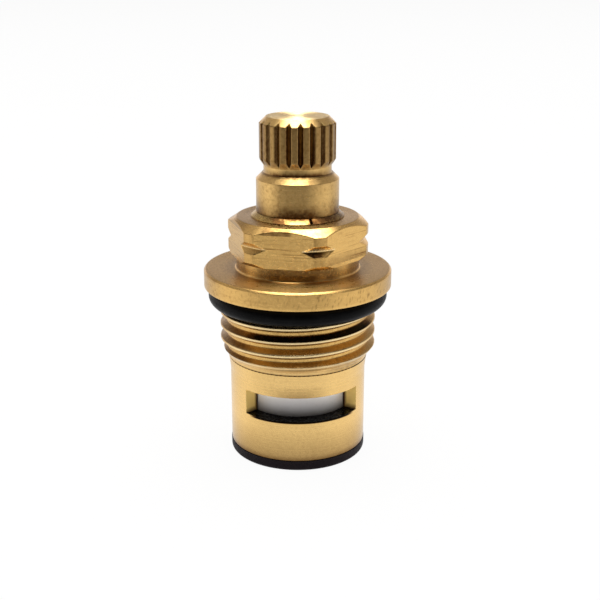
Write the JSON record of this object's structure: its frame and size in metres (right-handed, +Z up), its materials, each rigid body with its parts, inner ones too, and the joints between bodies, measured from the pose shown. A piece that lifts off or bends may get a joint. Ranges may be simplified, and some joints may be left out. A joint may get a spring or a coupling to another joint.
{
  "type": "ceramic disc tap cartridge",
  "caption": "Quarter-turn tap cartridge: splined brass spindle in a hexagon headpiece with flange and pipe thread, turning a ceramic disc behind side windows in a sleeve with a rubber seal.",
  "frame": {"origin": "middle of the lower face of the rubber seal, on the spindle axis", "axes": "+Z up the spindle axis, towards the splined end; -Y towards the front of the picture, +X to its right"},
  "size_m": [0.0252, 0.0252, 0.0459],
  "materials": {
    "headpiece_brass": "turned and milled, bare",
    "sleeve_brass": "fine turned, bare",
    "spindle_brass": "turned and milled, bare",
    "ring_brass": "polished",
    "o_ring_rubber": "smooth moulded",
    "seal_rubber": "matt moulded",
    "disc_ceramic": "ground and lapped",
    "washer_plastic": "moulded"
  },
  "bodies": {
    "cartridge": {"headpiece": "headpiece_brass", "disc_sleeve": "sleeve_brass", "slide_washer": "washer_plastic", "flange_o_ring": "o_ring_rubber", "fixed_disc": "disc_ceramic", "bottom_seal": "seal_rubber", "seal_support_ring": "washer_plastic"},
    "spindle": {"spindle": "spindle_brass", "retaining_ring": "ring_brass", "upper_spindle_o_ring": "o_ring_rubber", "lower_spindle_o_ring": "o_ring_rubber"},
    "moving_disc": {"moving_disc": "disc_ceramic"}
  },
  "joints": [
    {"name": "spindle_turn", "type": "hinge", "parent": "cartridge", "child": "spindle", "pos_m": [0, 0, 0.0243], "axis": [0, 0, 1], "range_deg": [0, 90]},
    {"name": "disc_turn", "type": "hinge", "parent": "cartridge", "child": "moving_disc", "pos_m": [0, 0, 0.0089], "axis": [0, 0, 1], "range_deg": [0, 90]}
  ],
  "couplings": [
    {"joint": "disc_turn", "follows": "spindle_turn", "ratio": 1}
  ]
}
